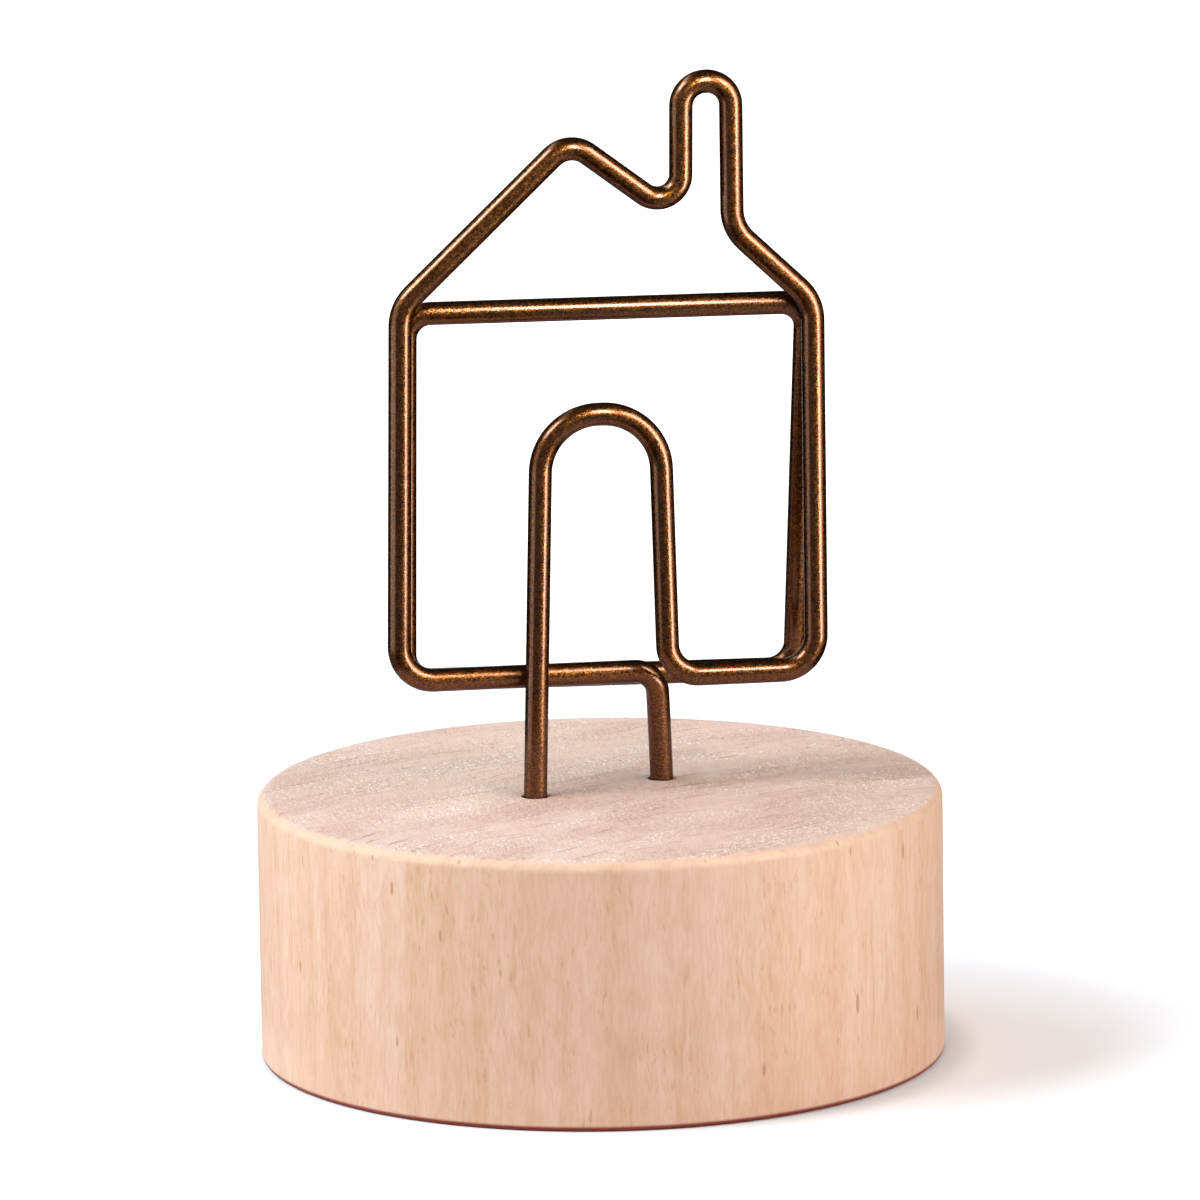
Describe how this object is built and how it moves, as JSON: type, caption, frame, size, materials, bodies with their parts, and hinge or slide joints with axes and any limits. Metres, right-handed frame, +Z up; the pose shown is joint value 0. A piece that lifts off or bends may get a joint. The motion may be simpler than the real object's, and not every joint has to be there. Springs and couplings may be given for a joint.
{
  "type": "wooden photo block holder",
  "caption": "Round turned wooden block carrying a bent bronze wire house; a photograph stands clipped between the house and a wire loop behind it.",
  "frame": {"origin": "middle of the block's flat underside, which rests on the table", "axes": "+Z up along the block's axis, +X along the house to the viewer's right, +Y from the front outline to the rear loop"},
  "size_m": [0.05, 0.05, 0.0724],
  "materials": {
    "turned_wood": "fine sanded, unvarnished pale hardwood",
    "bronze_lacquer": "satin antique bronze lacquer with fine metallic flake on steel wire",
    "cured_glue": "clear amber cured adhesive"
  },
  "bodies": {
    "root": {"base_block": "turned_wood", "house_wire": "bronze_lacquer", "clip_loop": "bronze_lacquer", "loop_braze": "bronze_lacquer", "front_leg_glue": "cured_glue", "rear_leg_glue": "cured_glue"}
  },
  "joints": []
}
